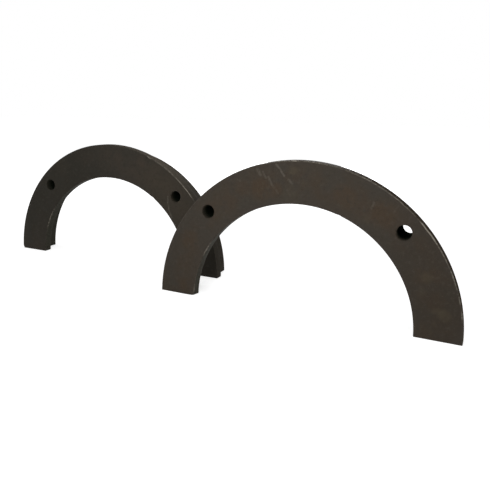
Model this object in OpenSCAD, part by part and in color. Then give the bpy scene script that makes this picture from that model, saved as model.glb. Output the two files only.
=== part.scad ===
// Split bearing separator ring: two like half rings of stepped section, standing on their cut faces.
// Lengths are in millimetres. X runs along the faces, Y into the depth and Z up.

/* [Flange] */
// Outer diameter of the ring
ring_od = 240; // [234:1:300]
// Diameter of the bore in the flange, where its inner lip reaches behind a bearing
ring_bore = 176; // [140:1:190]
// Thickness of the flange
flange_t = 8.5; // [5:0.5:20]

/* [Rib] */
// Outer diameter of the rib that stands out behind the flange
rib_od = 228; // [227:0.5:236]
// Inner diameter of the rib
rib_id = 198; // [184:0.5:199]
// Depth of the ring, from the face of the flange to the back of the rib
ring_depth = 28.5; // [20:0.5:60]

/* [Split] */
// Width of the cut that parts the ring into halves
split_gap = 5; // [0:0.5:12]

/* [Bolt holes] */
// Diameter of the holes through the flange and the rib
bolt_d = 10.5; // [6:0.5:12]
// Diameter of the circle that the holes lie on
bolt_circle = 213.5; // [211:0.5:215]
// Angle of each hole from the crown of its half
bolt_angle = 45; // [20:1:70]

/* [Edges] */
// Width of the break on the turned edges
edge_break = 0.6; // [0.2:0.1:1.5]
// Radius in the corners where the rib meets the flange
root_radius = 1; // [0.5:0.1:2]

/* [Standing places] */
// How far the rear half stands to the left of the front one
rear_left = 213.4; // [200:0.1:300]
// How far the face of the rear half stands behind that of the front one
rear_back = 50.7; // [40:0.1:120]
// Turn of the rear half about the upright axis through the middle of its face
rear_turn = 1.2; // [0:0.1:5]

/* [Hidden] */
$fn = 128;

steel_colour = [0.25, 0.22, 0.19];
ring_r = ring_od / 2;
bore_r = ring_bore / 2;
rib_outer_r = rib_od / 2;
rib_inner_r = rib_id / 2;

// Height of the cut face above the axis of the whole ring
cut_height = split_gap / 2;
// Half the width over the cut faces, of the flange and of the rib
flange_foot = sqrt(pow(ring_r, 2) - pow(cut_height, 2));
rib_foot = sqrt(pow(rib_outer_r, 2) - pow(cut_height, 2));

// The middle of the space that both halves take up is the origin
leftmost = -rear_left - flange_foot * cos(rear_turn) - flange_t * sin(rear_turn);
rearmost = rear_back + rib_foot * sin(rear_turn) + ring_depth * cos(rear_turn);
middle = [(flange_foot + leftmost) / 2, rearmost / 2, 0];

// Steps of a turned edge's flat break and of a root's arc
break_steps = 1;
root_steps = 4;
// Length by which a cutting tool runs past what it cuts
overrun = 1;

function unit(v) = v / norm(v);

// Points that take a square corner at p off or fill it, on an arc that touches both its sides
function eased(before, p, after, size, steps) =
    let (a = unit(before - p) * size, b = unit(after - p) * size)
    [for (i = [0 : steps]) p + a * (1 - sin(90 * i / steps)) + b * (1 - cos(90 * i / steps))];

// Half section of the ring: radius along X, depth behind the flange's face along Y
module section() {
    corners = [
        [bore_r, 0, edge_break, break_steps],
        [ring_r, 0, edge_break, break_steps],
        [ring_r, flange_t, edge_break, break_steps],
        [rib_outer_r, flange_t, root_radius, root_steps],
        [rib_outer_r, ring_depth, edge_break, break_steps],
        [rib_inner_r, ring_depth, edge_break, break_steps],
        [rib_inner_r, flange_t, root_radius, root_steps],
        [bore_r, flange_t, edge_break, break_steps]
    ];
    count = len(corners);
    function place(i) = let (c = corners[(i + count) % count]) [c.x, c.y];
    polygon([
        for (i = [0 : count - 1])
            each eased(place(i - 1), place(i), place(i + 1), corners[i][2], corners[i][3])
    ]);
}

// Room below the cut, wide and deep enough to take the lower half of the ring away
module below_cut() {
    reach = ring_r + overrun;
    translate([-reach, -overrun, -reach])
        cube([2 * reach, ring_depth + 2 * overrun, reach + cut_height]);
}

module bolt_hole(angle) {
    radius = bolt_circle / 2;
    translate([radius * sin(angle), -overrun, radius * cos(angle)])
        rotate([-90, 0, 0])
            cylinder(d = bolt_d, h = ring_depth + 2 * overrun);
}

// One half on its cut faces, with the middle of its flange's face at X = 0 and Y = 0
module half_ring() {
    translate([0, 0, -cut_height])
        difference() {
            rotate([-90, 0, 0]) rotate_extrude() section();
            below_cut();
            for (side = [-1, 1]) bolt_hole(side * bolt_angle);
        }
}

module front_half() {
    color(steel_colour)
        translate(-middle) half_ring();
}

module rear_half() {
    color(steel_colour)
        translate([-rear_left, rear_back, 0] - middle)
            rotate([0, 0, rear_turn]) half_ring();
}

front_half();
rear_half();
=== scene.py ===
import math

import bmesh
import bpy
from mathutils import Matrix, Vector


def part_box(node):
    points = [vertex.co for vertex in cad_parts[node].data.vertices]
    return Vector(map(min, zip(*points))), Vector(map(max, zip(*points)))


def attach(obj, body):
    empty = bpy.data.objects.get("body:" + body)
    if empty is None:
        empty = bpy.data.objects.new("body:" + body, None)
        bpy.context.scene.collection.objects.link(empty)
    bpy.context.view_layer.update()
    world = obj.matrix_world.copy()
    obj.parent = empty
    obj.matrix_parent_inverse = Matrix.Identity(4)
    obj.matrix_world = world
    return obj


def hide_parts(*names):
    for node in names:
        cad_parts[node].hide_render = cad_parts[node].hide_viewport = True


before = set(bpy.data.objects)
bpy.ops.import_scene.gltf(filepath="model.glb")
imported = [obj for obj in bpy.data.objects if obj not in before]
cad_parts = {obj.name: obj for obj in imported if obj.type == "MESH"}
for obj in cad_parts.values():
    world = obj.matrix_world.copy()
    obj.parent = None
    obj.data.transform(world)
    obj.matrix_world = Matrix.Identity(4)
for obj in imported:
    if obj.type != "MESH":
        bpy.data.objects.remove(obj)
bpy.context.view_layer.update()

# Camera: it stands before the front half and to its right, a little higher than the crowns.
# It is rolled by less than a degree, and its lens is shifted sideways to put both halves
# where the photograph has them.
camera_place = Vector((0.2394, -0.4304, 0.1527))
camera_turn = math.radians(27.65)
camera_dip = math.radians(13.65)
camera_roll = math.radians(0.88)
camera_lens = 41.15
camera_shift = 0.0673

camera_data = bpy.data.cameras.new("camera")
camera_data.lens = camera_lens
camera_data.shift_x = camera_shift
camera = bpy.data.objects.new("camera", camera_data)
camera.matrix_world = (
    Matrix.Translation(camera_place)
    @ Matrix.Rotation(camera_turn, 4, "Z")
    @ Matrix.Rotation(math.pi / 2 - camera_dip, 4, "X")
    @ Matrix.Rotation(camera_roll, 4, "Z")
)
bpy.context.scene.collection.objects.link(camera)
bpy.context.scene.camera = camera


# Front half ring: half of a steel ring that was turned to a stepped section, sawn through and
# drilled. It stands on its two cut faces, with the flange in front and the rib behind, and is
# oxidised to a matt brown-black all over.
ring_r = 0.120
bore_r = 0.088
flange_t = 0.0085
rib_outer_r = 0.114
rib_inner_r = 0.099
ring_depth = 0.0285
turned_break = 0.0006
root_r = 0.001
cut_height = 0.0025
bolt_r = 0.00525
bolt_circle_r = 0.10675
bolt_angle = math.radians(45)
filed_break = 0.0003

# Widths of the narrow faces that keep the shading flat beside an edge and round a hole.
edge_band = 0.0016
rim_band = 0.0008
turning_steps = 360
drill_steps = 64
# From this angle on, an edge is sharp enough to be filed.
sharp = math.radians(60)
# Two points at one depth differ by less than this.
level = 0.0001
mm = 0.001


def side_points(start, end, start_sharp, end_sharp):
    """One side of the section: its first corner, and a support beside each outside corner."""
    along = (end - start).normalized() * edge_band
    points = [start]
    if start_sharp:
        points.append(start + along)
    if end_sharp:
        points.append(end - along)
    return points


def turn_section(mesh, wear):
    """Turns the section about the ring's axis, from the right over the crown to the left."""
    corners = [
        (bore_r, 0, True),
        (ring_r, 0, True),
        (ring_r, flange_t, True),
        (rib_outer_r, flange_t, False),
        (rib_outer_r, ring_depth, True),
        (rib_inner_r, ring_depth, True),
        (rib_inner_r, flange_t, False),
        (bore_r, flange_t, True),
    ]
    outline = []
    outside = []
    roots = []
    for (r0, d0, sharp0), (r1, d1, sharp1) in zip(corners, corners[1:] + corners[:1]):
        (outside if sharp0 else roots).append(len(outline))
        outline += side_points(Vector((r0, d0, 0)), Vector((r1, d1, 0)), sharp0, sharp1)
    verts = [mesh.verts.new(point) for point in outline]
    for a, b in zip(verts, verts[1:] + verts[:1]):
        mesh.edges.new((a, b))
    broken = [verts[i] for i in outside]
    for vert in broken:
        vert[wear] = 1.0
    round_off = dict(profile=0.5, affect="VERTICES", material=-1)
    bmesh.ops.bevel(mesh, geom=[verts[i] for i in roots], offset=root_r, segments=4, **round_off)
    bmesh.ops.bevel(mesh, geom=broken, offset=turned_break, segments=3, **round_off)
    bmesh.ops.spin(
        mesh, geom=mesh.verts[:] + mesh.edges[:], cent=(0, 0, 0), axis=(0, -1, 0),
        angle=math.pi, steps=turning_steps, use_merge=False,
    )


def cut_level(mesh, height, **clear):
    bmesh.ops.bisect_plane(
        mesh, geom=mesh.verts[:] + mesh.edges[:] + mesh.faces[:],
        plane_co=(0, 0, height), plane_no=(0, 0, 1), **clear,
    )


def saw_through(mesh):
    """Takes away what lies below the saw cut and closes both cut faces."""
    cut_level(mesh, cut_height, clear_inner=True)
    open_edges = [edge for edge in mesh.edges if edge.is_boundary]
    bmesh.ops.holes_fill(mesh, edges=open_edges, sides=0)
    cut_level(mesh, cut_height + edge_band)


def open_mouth(mesh, axis_point, depth):
    """Opens the mouth of one hole in the flat face at that depth, and returns its rim's edges."""
    centre = axis_point + Vector((0, depth, 0))
    across = Vector((-centre.z, 0, centre.x)).normalized()
    half_width = 1.4 * bolt_r
    half_height = 2 * bolt_r
    window = []
    for face in mesh.faces:
        out = face.calc_center_median() - centre
        near = abs(out.dot(across)) < half_width and out.length < half_height
        if near and abs(out.y) < level:
            window.append(face)
    # The narrow bands along the face's edges stay.
    widest = max(face.calc_area() for face in window)
    window = [face for face in window if face.calc_area() > widest / 2]
    bmesh.ops.delete(mesh, geom=window, context="FACES")
    gap = [
        edge for edge in mesh.edges
        if edge.is_boundary and abs(edge.verts[0].co.y - depth) < level
    ]
    lie = Matrix.Translation(centre) @ Matrix.Rotation(math.pi / 2, 4, "X")
    rings = []
    for radius in (bolt_r + rim_band, bolt_r):
        made = bmesh.ops.create_circle(mesh, segments=drill_steps, radius=radius, matrix=lie)
        circle = set(made["verts"])
        rings.append([edge for edge in mesh.edges if circle.issuperset(edge.verts)])
    bmesh.ops.bridge_loops(mesh, edges=rings[0] + rings[1])
    bmesh.ops.triangle_fill(mesh, edges=gap + rings[0], use_beauty=True, normal=(0, 1, 0))
    return rings[1]


def drill(mesh, angle):
    """Drills one bolt hole through the flange and the rib, parallel to the ring's axis."""
    axis_point = Vector((math.sin(angle), 0, math.cos(angle))) * bolt_circle_r
    rims = open_mouth(mesh, axis_point, 0) + open_mouth(mesh, axis_point, ring_depth)
    bmesh.ops.bridge_loops(mesh, edges=rims)


def file_edges(mesh, wear):
    """Takes the burr off the sawn and drilled edges, and marks them as places that wear first."""
    corners = [
        edge for edge in mesh.edges if edge.is_convex and edge.calc_face_angle(0) > sharp
    ]
    made = bmesh.ops.bevel(
        mesh, geom=corners, offset=filed_break, segments=2, profile=0.5,
        affect="EDGES", material=-1, clamp_overlap=False,
    )
    for vert in {vert for face in made["faces"] for vert in face.verts}:
        vert[wear] = 1.0


def lay_marks(mesh):
    """Lays a map in millimetres over the mesh: across the tool's marks first, then along them."""
    lay = mesh.loops.layers.uv.new("tool_lay")
    wall = mesh.faces.layers.float.new("turned_wall")
    angles = (-bolt_angle, bolt_angle)
    axes = [Vector((math.sin(angle), 0, math.cos(angle))) * bolt_circle_r for angle in angles]
    hole_reach = bolt_r + filed_break / 2
    downwards = -0.7
    endways = 0.5
    for face in mesh.faces:
        middle = face.calc_center_median()
        drilled = [axis for axis in axes if (middle - axis).xz.length < hole_reach]
        sawn = middle.z < cut_height + filed_break and face.normal.z < downwards
        for loop in face.loops:
            x, y, z = loop.vert.co / mm
            if sawn:
                loop[lay].uv = (x, y)
            elif drilled:
                out = loop.vert.co - drilled[0]
                round_middle = math.atan2(middle.z - drilled[0].z, middle.x - drilled[0].x)
                turn = math.atan2(out.z, out.x)
                turn += math.tau * round((round_middle - turn) / math.tau)
                loop[lay].uv = (y, turn * bolt_r / mm)
            else:
                face[wall] = 0.0 if abs(face.normal.y) > endways else 1.0
                across = y if face[wall] else math.hypot(x, z)
                loop[lay].uv = (across, math.atan2(x, z) * bolt_circle_r / mm)


def knock(mesh, radius, angle, depth, reach, push):
    """Pushes an edge in at one place, as a fall or a hammer does."""
    turn = math.radians(angle)
    out = Vector((math.sin(turn), 0, math.cos(turn)))
    middle = out * radius + Vector((0, depth, 0))
    heart = out * bolt_circle_r + Vector((0, ring_depth / 4, 0))
    inwards = (heart - middle).normalized()
    for vert in mesh.verts:
        near = 1 - (vert.co - middle).length / reach
        if near > 0:
            vert.co += inwards * push * near * near


def make_half(name, place, knocks):
    """Makes one half ring and puts it in its place, in the mesh itself."""
    mesh = bmesh.new()
    wear = mesh.verts.layers.float.new("edge_wear")
    turn_section(mesh, wear)
    saw_through(mesh)
    for side in (-1, 1):
        drill(mesh, side * bolt_angle)
    bmesh.ops.recalc_face_normals(mesh, faces=mesh.faces)
    file_edges(mesh, wear)
    lay_marks(mesh)
    for place_and_size in knocks:
        knock(mesh, *place_and_size)
    bmesh.ops.transform(mesh, matrix=place, verts=mesh.verts)
    data = bpy.data.meshes.new(name)
    mesh.to_mesh(data)
    mesh.free()
    data.shade_smooth()
    half = bpy.data.objects.new(name, data)
    bpy.context.scene.collection.objects.link(half)
    return half


def node(tree, kind, inputs, **settings):
    """Adds a shader node. A socket given as an input is linked, and any other value is set."""
    made = tree.nodes.new("ShaderNode" + kind)
    for name, value in settings.items():
        setattr(made, name, value)
    for key, value in inputs.items():
        if isinstance(value, bpy.types.NodeSocket):
            tree.links.new(value, made.inputs[key])
        else:
            made.inputs[key].default_value = value
    return made


def number(tree, operation, *inputs):
    return node(tree, "Math", dict(enumerate(inputs)), operation=operation).outputs[0]


def vector(tree, operation, *inputs, result=0):
    return node(tree, "VectorMath", dict(enumerate(inputs)), operation=operation).outputs[result]


def noise(tree, place, scale, detail, rough):
    inputs = {"Vector": place, "Scale": scale, "Detail": detail, "Roughness": rough}
    return node(tree, "TexNoise", inputs).outputs["Fac"]


def share(tree, value, low, high, top=1.0):
    """Eases a value from nought at low to top at high, which may be the lower of the two."""
    inputs = {"Value": value, "From Min": low, "From Max": high, "To Min": 0.0, "To Max": top}
    return node(tree, "MapRange", inputs, interpolation_type="SMOOTHSTEP").outputs["Result"]


def tint(tree, amount, under, over):
    inputs = {"Factor": amount, 6: under, 7: over}
    return node(tree, "Mix", inputs, data_type="RGBA").outputs[2]


def patch(tree, place, x, z, radius, strength):
    """A soft round patch on the face, x to the right of the ring's axis and z above it."""
    core = 0.35 * radius
    away = vector(tree, "DISTANCE", place, (x, 0, z), result=1)
    return share(tree, away, radius, core, strength)


def scratch(tree, place, x0, z0, x1, z1, width, strength):
    """A thin line on the face from one point to another, strongest in its middle."""
    core = 0.2 * width
    start = Vector((x0, 0, z0))
    run = Vector((x1 - x0, 0, z1 - z0))
    out = vector(tree, "SUBTRACT", place, tuple(start))
    along = vector(tree, "DOT_PRODUCT", out, tuple(run / run.length_squared), result=1)
    along = node(tree, "Clamp", {"Value": along}).outputs[0]
    inputs = {0: tuple(run), "Scale": along}
    nearest = node(tree, "VectorMath", inputs, operation="SCALE").outputs[0]
    away = vector(tree, "DISTANCE", out, nearest, result=1)
    return share(tree, away, width, core, strength)


def hole_shade(tree, place, side):
    """Painted shade in one bolt hole: black deep inside, thinning out towards the mouth and
    spreading softly over its rim.
    """
    flat = vector(tree, "MULTIPLY", place, (1, 0, 1))
    x = side * math.sin(bolt_angle) * bolt_circle_r / mm
    z = math.cos(bolt_angle) * bolt_circle_r / mm
    hole_r = bolt_r / mm
    away = vector(tree, "DISTANCE", flat, (x, 0, z), result=1)
    depth = node(tree, "SeparateXYZ", {0: place}).outputs["Y"]
    painted_rim = share(tree, away, hole_r + 1.0, hole_r - 0.2, 0.3)
    inside = share(tree, away, hole_r + 0.3, hole_r)
    inside = number(tree, "MULTIPLY", inside, share(tree, depth, -3.0, 9.0))
    return number(tree, "MAXIMUM", painted_rim, inside)


def strongest(tree, masks):
    total = masks[0]
    for mask in masks[1:]:
        total = number(tree, "MAXIMUM", total, mask)
    return total


grime = (0.0440, 0.0425, 0.0325, 1)
faded_oxide = (0.0710, 0.0570, 0.0360, 1)
rust = (0.085, 0.045, 0.024, 1)
# The black of the painted shade in the bolt holes.
hole_shade_black = (0.0085, 0.0115, 0.0072, 1)
# Bare steel on worn edges, which also serves as painted highlight where the lamps catch them.
bare_steel_and_highlight = (0.15, 0.135, 0.112, 1)


def oxide_steel(
    name, place, oxide, brown, dark, painted_rim, rim_light_zones,
    stains, shade_and_dark_stains, pale_stains, scratches, rubbed_and_highlit_edges,
):
    """Matt oxide over turned steel: brown clouds, fine tool marks and worn edges, with painted
    shade in the holes, painted light on the outer walls and painted highlights on some edges.
    """
    material = bpy.data.materials.new(name)
    material.use_nodes = True
    tree = material.node_tree
    shader = tree.nodes["Principled BSDF"]

    # Places on the half, in millimetres from the ring's axis and from the flange's face.
    coordinates = tree.nodes.new("ShaderNodeTexCoord").outputs["Object"]
    inputs = {
        "Vector": coordinates,
        "Location": place.to_translation(),
        "Rotation": place.to_euler(),
        "Scale": (mm, mm, mm),
    }
    ring = node(tree, "Mapping", inputs, vector_type="TEXTURE").outputs[0]
    depth = node(tree, "SeparateXYZ", {0: ring}).outputs["Y"]
    flat = vector(tree, "MULTIPLY", ring, (1, 0, 1))
    radius = vector(tree, "LENGTH", flat, result=1)

    # Unevenness from the widest to the finest, and the streaks that the turning tool left.
    cloud = noise(tree, ring, scale=0.03, detail=3.0, rough=0.55)
    mottle = noise(tree, ring, scale=0.12, detail=5.0, rough=0.6)
    fleck = noise(tree, ring, scale=0.35, detail=3.0, rough=0.6)
    speck = noise(tree, ring, scale=0.7, detail=2.0, rough=0.5)
    grain = noise(tree, ring, scale=1.4, detail=4.0, rough=0.65)
    lay = node(tree, "UVMap", {}, uv_map="tool_lay").outputs[0]
    streaks = vector(tree, "MULTIPLY", lay, (1.0, 0.02, 1.0))
    marks = noise(tree, streaks, scale=2.6, detail=4.0, rough=0.7)

    # Uneven outlines: stains are bent by up to a few millimetres, and scratches by less than one.
    inputs = {"Vector": ring, "Scale": 0.1, "Detail": 4.0}
    sway = node(tree, "TexNoise", inputs).outputs["Color"]
    sway = vector(tree, "SUBTRACT", sway, (0.5, 0.5, 0.5))
    bent = vector(tree, "MULTIPLY_ADD", sway, (8, 8, 8), ring)
    steady = vector(tree, "MULTIPLY_ADD", sway, (1.5, 1.5, 1.5), ring)

    # Brown clouds and stains, which are strongest along the middle of the flange.
    stained = strongest(tree, [patch(tree, bent, *stain) for stain in stains])
    browned = number(tree, "MAXIMUM", share(tree, cloud, 0.40, 0.60, 0.6), stained)
    browned = number(tree, "MULTIPLY", browned, share(tree, mottle, 0.2, 0.5))
    flange_middle = (ring_r + bore_r) / 2 / mm
    from_middle = number(tree, "SUBTRACT", radius, flange_middle)
    from_middle = number(tree, "ABSOLUTE", from_middle)
    middle = number(tree, "ADD", share(tree, from_middle, 15.0, 3.0, 0.6), 0.4)
    browned = number(tree, "MULTIPLY", browned, middle)
    colour = tint(tree, browned, oxide, brown)
    # Painted shade: darker patches where less light falls, with a few real dark spots, and darker
    # mottle at random.
    shade_and_mottle = strongest(tree, [patch(tree, bent, *stain) for stain in shade_and_dark_stains])
    shade_and_mottle = number(tree, "MAXIMUM", shade_and_mottle, share(tree, mottle, 0.5, 0.25, 0.4))
    colour = tint(tree, shade_and_mottle, colour, dark)

    # Grime inside the ring, and painted light on its outer walls: their colour is painted lighter
    # in zones where the light from above and the right falls on them.
    wall = node(tree, "Attribute", {}, attribute_name="turned_wall").outputs["Fac"]
    inner = share(tree, radius, rib_inner_r / mm + 2, rib_inner_r / mm + 1)
    inner = number(tree, "MULTIPLY", wall, inner)
    grimy = number(tree, "MULTIPLY", inner, share(tree, fleck, 0.2, 0.5, 0.9))
    colour = tint(tree, grimy, colour, grime)
    outer = share(tree, radius, rib_outer_r / mm - 0.5, rib_outer_r / mm - 0.1)
    outer = number(tree, "MULTIPLY", wall, outer)
    rim_light_patches = strongest(tree, [patch(tree, bent, *zone) for zone in rim_light_zones])
    rim_light = number(tree, "MULTIPLY", outer, rim_light_patches)
    rim_light = number(tree, "MULTIPLY", rim_light, share(tree, fleck, 0.1, 0.4))
    colour = tint(tree, rim_light, colour, painted_rim)

    # Flecks and grains both ways, tool marks, faded spots and specks of rust.
    pale = tuple(1.35 * part for part in oxide[:3]) + (1,)
    colour = tint(tree, share(tree, fleck, 0.48, 0.3, 0.45), colour, dark)
    colour = tint(tree, share(tree, grain, 0.45, 0.25, 0.7), colour, dark)
    colour = tint(tree, share(tree, fleck, 0.52, 0.7, 0.4), colour, pale)
    colour = tint(tree, share(tree, grain, 0.55, 0.75, 0.7), colour, pale)
    colour = tint(tree, share(tree, marks, 0.55, 0.75, 0.3), colour, pale)
    faded = strongest(tree, [patch(tree, bent, *stain) for stain in pale_stains])
    colour = tint(tree, faded, colour, faded_oxide)
    rusty = number(tree, "MULTIPLY", share(tree, speck, 0.66, 0.74, 0.4), browned)
    colour = tint(tree, rusty, colour, rust)
    # Painted shade in the bolt holes: black deep inside, fading towards the mouths and softly over
    # their rims.
    shaded_hole = strongest(tree, [hole_shade(tree, ring, side) for side in (-1, 1)])
    colour = tint(tree, shaded_hole, colour, hole_shade_black)

    # Steel laid bare: a little on every edge, more in rubbed zones on the front edges, and in the
    # scratches. The rubbed zones are partly wear where hands rub them and partly painted highlight
    # where the lamps on the right catch the edges.
    edge = node(tree, "Attribute", {}, attribute_name="edge_wear").outputs["Fac"]
    handled_and_highlit = strongest(tree, [patch(tree, ring, *zone) for zone in rubbed_and_highlit_edges])
    handled_and_highlit = number(tree, "MULTIPLY", handled_and_highlit, share(tree, depth, 4.0, 1.0))
    handled_and_highlit = number(tree, "ADD", handled_and_highlit, 0.25)
    chance = number(tree, "ADD", mottle, share(tree, speck, 0.3, 0.7, 0.5))
    worn_and_highlit = number(tree, "MULTIPLY", handled_and_highlit, chance)
    worn_and_highlit = number(tree, "MULTIPLY", worn_and_highlit, share(tree, edge, 0.75, 1.0))
    worn_and_highlit = share(tree, worn_and_highlit, 0.1, 0.8)
    scored = strongest(tree, [scratch(tree, steady, *line) for line in scratches])
    scored = number(tree, "MULTIPLY", scored, share(tree, speck, 0.2, 0.55))
    outside_hole_shade = number(tree, "SUBTRACT", 1.0, shaded_hole)
    bared_and_highlit = number(tree, "MULTIPLY", number(tree, "MAXIMUM", worn_and_highlit, scored), outside_hole_shade)
    colour = tint(tree, bared_and_highlit, colour, bare_steel_and_highlight)
    tree.links.new(colour, shader.inputs["Base Color"])

    # Matt all over, and mattest on the walls and in the holes.
    roughness = number(tree, "ADD", share(tree, mottle, 0.3, 0.7, 0.14), 0.52)
    roughness = number(tree, "SUBTRACT", roughness, number(tree, "MULTIPLY", bared_and_highlit, 0.2))
    tree.links.new(roughness, shader.inputs["Roughness"])
    tree.links.new(number(tree, "MULTIPLY", bared_and_highlit, 0.8), shader.inputs["Metallic"])
    off_wall = share(tree, wall, 1.0, 0.0, 0.7)
    off_outer = share(tree, outer, 1.0, 0.0, 0.2)
    off_rim_light = share(tree, rim_light, 1.0, 0.0, 0.1)
    smooth = number(tree, "ADD", number(tree, "ADD", off_wall, off_outer), off_rim_light)
    gloss = number(tree, "MULTIPLY", share(tree, shaded_hole, 0.3, 0.0, 0.085), smooth)
    tree.links.new(gloss, shader.inputs["Specular IOR Level"])

    height = number(tree, "ADD", number(tree, "MULTIPLY", marks, 0.6), grain)
    bump = node(tree, "Bump", {"Height": height, "Strength": 0.5, "Distance": 0.02 * mm})
    tree.links.new(bump.outputs[0], shader.inputs["Normal"])
    return material


front_low, front_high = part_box("front_half")
front_axis = Vector(((front_low.x + front_high.x) / 2, front_low.y, -cut_height))
front_place = Matrix.Translation(front_axis)
# A knock in an edge is its radius, degrees from the crown, depth, reach and push.
front_knocks = [
    (bore_r, -88, 0, 0.005, 0.0022),
    (ring_r, 38, 0, 0.003, 0.0005),
    (ring_r, 48.5, 0, 0.004, 0.0004),
    (bore_r, -62, 0, 0.003, 0.0005),
    (bore_r, 20, 0, 0.003, 0.0004),
    (rib_outer_r, -25, ring_depth, 0.004, 0.0007),
    (rib_inner_r, 52, ring_depth, 0.003, 0.0005),
    (ring_r, -57, flange_t, 0.004, 0.0006),
]
front_half = make_half("front_half_ring", front_place, front_knocks)

# Stains and light scratches on the flange's face, in millimetres from the ring's axis. A stain
# or a zone is x, z, radius and strength, and a scratch is its two ends, width and strength.
front_stains = [
    (-46, 97, 10, 0.7),
    (-30, 97, 14, 1.0),
    (-20, 96, 10, 0.9),
    (34, 95, 15, 0.9),
    (62, 87, 16, 1.0),
    (-93, 50, 12, 0.9),
    (-95, 31, 13, 0.5),
    (-95, 11, 12, 1.0),
    (88, 70, 10, 0.7),
    (95, 67, 9, 0.7),
    (90, 46, 9, 0.9),
    (100, 49, 9, 1.0),
    (107, 46, 8, 1.0),
    (90, 30, 10, 0.9),
    (100, 30, 11, 1.0),
    (112, 16, 8, 0.8),
    (91, 7, 9, 0.9),
    (102, 42, 50, 0.35),
]
# Painted shade: the right leg, and a little the left one, painted darker towards the feet, where
# less light falls.
front_painted_shade = [(99, 50, 60, 0.45), (104, 28, 32, 0.6), (-100, 30, 60, 0.2)]
front_pale_stains = [
    (101, 24.5, 4.5, 0.33),
    (104.5, 22.5, 5, 0.42),
    (108, 21, 4.5, 0.28),
    (93, 46, 5.5, 0.3),
    (90.5, 36, 4, 0.15),
    (101, 15, 3, 0.2),
    (99, 8, 3, 0.15),
    (50, 84, 5, 0.2),
    (-5, 112, 4.5, 0.42),
    (-7, 94, 11, 0.16),
    (3, 104, 4, 0.12),
]
front_scratches = [
    (-34.2, 111.8, -31.2, 107.6, 1.8, 0.2),
    (-29.5, 109.8, -26.7, 105.8, 1.2, 0.18),
    (-24.7, 106.6, -21.9, 101.1, 1.4, 0.18),
    (-21.9, 101.1, -20.0, 99.0, 1.4, 0.12),
    (-18.7, 97.4, -16.6, 94.9, 1.2, 0.08),
    (-18.9, 116.2, -16.7, 114.1, 1.3, 0.3),
    (-16.7, 114.1, -15.0, 111.3, 1.1, 0.22),
    (-15.0, 111.3, -12.5, 108.2, 1.2, 0.3),
    (-8.9, 105.4, -6.1, 103.2, 1.5, 0.2),
    (-9.6, 97.7, -7.1, 93.8, 1.2, 0.08),
    (53.7, 94.2, 52.5, 90.5, 1.4, 0.16),
    (67.5, 88.5, 70.0, 93.5, 1.0, 0.07),
    (-50.0, 103.0, -48.0, 102.0, 1.4, 0.12),
]
# Rubbed zones on the front edges: partly real wear, partly painted highlight where the lamps on
# the right catch the edges.
front_rubbed_and_highlit = [
    (-8, 119, 50, 0.28),
    (-5.4, 119.5, 3, 0.9),
    (60, 104, 38, 0.3),
    (92, 77, 13, 0.9),
    (106, 56, 28, 0.38),
    (114.5, 34, 4, 0.35),
    (117.5, 23.5, 4, 0.4),
    (-76, 45, 9, 0.38),
    (-87.5, 9, 5, 0.4),
]
front_oxide = oxide_steel(
    "front_half_oxide",
    front_place,
    oxide=(0.0432, 0.0367, 0.0289, 1),
    brown=(0.0522, 0.0365, 0.0238, 1),
    dark=(0.0335, 0.0268, 0.0202, 1),
    # The outer walls' painted light: this lighter colour is painted in the zone at the top and on
    # the right, where the light from above falls.
    painted_rim=(0.0510, 0.0385, 0.0285, 1),
    rim_light_zones=[(92, 77, 105, 1.0)],
    stains=front_stains,
    shade_and_dark_stains=front_painted_shade,
    pale_stains=front_pale_stains,
    scratches=front_scratches,
    rubbed_and_highlit_edges=front_rubbed_and_highlit,
)
front_half.data.materials.append(front_oxide)
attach(front_half, "root")
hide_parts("front_half")


# Rear half ring: the other half of the same ring, turned, sawn and drilled with it.
# It stands to the left of the front half and behind it, turned by a degree or so, and its oxide is
# darker and less brown: partly its own tone, and partly painted shade, since it stands further
# from the front lamp.
rear_left = 0.2134
rear_back = 0.0507
rear_turn = math.radians(1.2)
rear_place = (
    Matrix.Translation(front_axis + Vector((-rear_left, rear_back, 0)))
    @ Matrix.Rotation(rear_turn, 4, "Z")
)
rear_knocks = [
    (ring_r, 23.5, 0, 0.0035, 0.0009),
    (ring_r, 37, 0, 0.004, 0.0005),
    (ring_r, -88.8, 0, 0.004, 0.0012),
    (bore_r, -62, 0, 0.004, 0.0005),
    (bore_r, 35, 0, 0.003, 0.0004),
    (rib_outer_r, 12, ring_depth, 0.004, 0.0007),
    (rib_inner_r, -40, ring_depth, 0.003, 0.0005),
    (ring_r, -30, flange_t, 0.004, 0.0006),
]
rear_half = make_half("rear_half_ring", rear_place, rear_knocks)
rear_stains = [
    (72, 78, 82, 0.5),
    (11, 108, 9, 0.6),
    (28, 93, 9, 0.6),
    (38, 107, 9, 0.9),
    (54, 100, 9, 0.7),
]
# Painted shade over the left side, a painted shadow of the front half on the right leg, and
# between them the dark spot of a real nick in the outer edge.
rear_shade_and_nick_spot = [(-80, 75, 105, 0.8), (44, 110, 2.6, 1.0), (106, 22, 34, 0.9)]
rear_pale_stains = [
    (80, 75, 62, 0.12),
    (-60, 96, 12, 0.08),
    (78.8, 70.6, 1.8, 0.5),
    (81.4, 78.7, 1.5, 0.3),
]
rear_scratches = [
    (67.2, 74.8, 66.8, 69.1, 1.1, 0.38),
    (66.8, 69.1, 67.6, 65.9, 1.0, 0.2),
    (67.6, 65.9, 68.1, 62.3, 1.1, 0.42),
    (68.1, 62.3, 69.3, 59.4, 1.1, 0.25),
    (69.3, 59.4, 71.5, 55.5, 1.1, 0.35),
]
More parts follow.
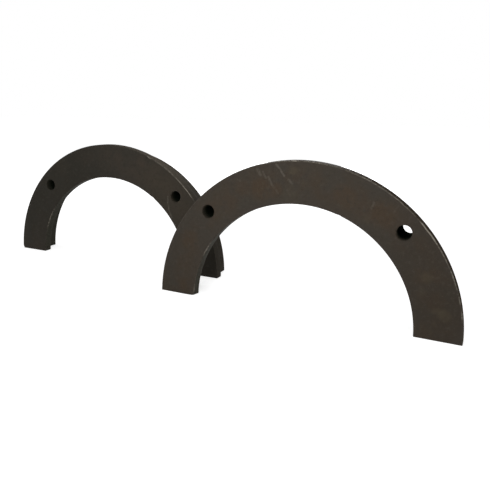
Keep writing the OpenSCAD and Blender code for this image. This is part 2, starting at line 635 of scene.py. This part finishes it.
# Rubbed zones on the front edges: partly real wear, partly painted highlight where the lamps catch
# the edges.
rear_rubbed_and_highlit = [(47, 110, 4, 0.5), (63, 102, 20, 0.3), (84, 85, 20, 0.45), (-78, 41, 18, 0.34)]
rear_oxide = oxide_steel(
    "rear_half_oxide",
    rear_place,
    oxide=(0.0344, 0.0303, 0.0238, 1),
    brown=(0.0500, 0.0383, 0.0286, 1),
    dark=(0.0232, 0.0205, 0.0152, 1),
    # The outer walls' painted light: this much lighter colour is painted at the top and, weaker,
    # low on the right, where the light falls on them.
    painted_rim=(0.1160, 0.1005, 0.0830, 1),
    rim_light_zones=[(42, 110, 64, 1.0), (118, 8, 48, 0.24)],
    stains=rear_stains,
    shade_and_dark_stains=rear_shade_and_nick_spot,
    pale_stains=rear_pale_stains,
    scratches=rear_scratches,
    rubbed_and_highlit_edges=rear_rubbed_and_highlit,
)
rear_half.data.materials.append(rear_oxide)
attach(rear_half, "root")
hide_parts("rear_half")


# Floor: a plain white sheet, far wider than the view, which takes the halves' soft shadow.
# Away from them it fades into the white of the room, so that no horizon shows.
floor_reach = 6.0
near_glow = 0.68
far_gain = 0.13
fade_start = 0.3
fade_end = 0.6
white = (1, 1, 1, 1)
floor_mesh = bmesh.new()
bmesh.ops.create_grid(floor_mesh, x_segments=1, y_segments=1, size=floor_reach)
floor_data = bpy.data.meshes.new("floor")
floor_mesh.to_mesh(floor_data)
floor_mesh.free()
floor = bpy.data.objects.new("floor", floor_data)
bpy.context.scene.collection.objects.link(floor)


def seen_directly(tree):
    """One for rays from the camera and for those that gloss and glass send on, else nought."""
    path = tree.nodes.new("ShaderNodeLightPath")
    seen = number(tree, "MAXIMUM", path.outputs["Is Camera Ray"], path.outputs["Is Glossy Ray"])
    return number(tree, "MAXIMUM", seen, path.outputs["Is Transmission Ray"])


floor_paper = bpy.data.materials.new("floor_paper")
floor_paper.use_nodes = True
tree = floor_paper.node_tree
paper = tree.nodes["Principled BSDF"]
paper.inputs["Base Color"].default_value = (0.8, 0.8, 0.8, 1)
paper.inputs["Roughness"].default_value = 1.0
paper.inputs["Specular IOR Level"].default_value = 0.0
paper.inputs["Emission Color"].default_value = white
spot = tree.nodes.new("ShaderNodeTexCoord").outputs["Object"]
away = vector(tree, "LENGTH", spot, result=1)
glow = number(tree, "ADD", near_glow, share(tree, away, fade_start, fade_end, far_gain))
glow = number(tree, "MULTIPLY", glow, seen_directly(tree))
tree.links.new(glow, paper.inputs["Emission Strength"])
floor_data.materials.append(floor_paper)

# Room and lamps: an even pale room, which shows white to the camera, and six square lamps
# with soft light. They stand all round the halves and above them, and the nearest one lights
# the front half's face.
room_light = 0.25
room = bpy.data.worlds.new("room")
room.use_nodes = True
tree = room.node_tree
strength = number(tree, "MAXIMUM", seen_directly(tree), room_light)
tree.links.new(strength, tree.nodes["Background"].inputs["Strength"])
tree.nodes["Background"].inputs["Color"].default_value = white
bpy.context.scene.world = room


def soft_lamp(name, place, aim, size, power):
    """A square area lamp that stands at a place and shines towards a point."""
    data = bpy.data.lights.new(name, "AREA")
    data.size = size
    data.energy = power
    lamp = bpy.data.objects.new(name, data)
    turn = (Vector(aim) - Vector(place)).to_track_quat("-Z", "Y").to_matrix().to_4x4()
    lamp.matrix_world = Matrix.Translation(place) @ turn
    bpy.context.scene.collection.objects.link(lamp)


# A lamp is its place, what it points at, its width in metres and its power in watts.
soft_lamp("front_lamp", (0.06, -0.36, 0.20), (0.08, 0.0, 0.09), 0.25, 0.60)
soft_lamp("side_lamp", (0.87, -0.57, 0.53), (0.05, 0.0, 0.06), 0.5, 1.5)
soft_lamp("right_lamp", (0.9, -0.25, 0.12), (0.0, 0.0, 0.06), 0.5, 0.6)
soft_lamp("left_lamp", (-1.0, 0.0, 0.25), (-0.1, 0.0, 0.06), 0.5, 1.5)
soft_lamp("back_lamp", (-0.1, 1.1, 0.30), (0.0, 0.0, 0.06), 0.7, 5.0)
soft_lamp("overhead_lamp", (0.1, -0.2, 1.1), (0.05, 0.0, 0.08), 0.9, 2.0)

bpy.context.scene.view_settings.view_transform = "Standard"
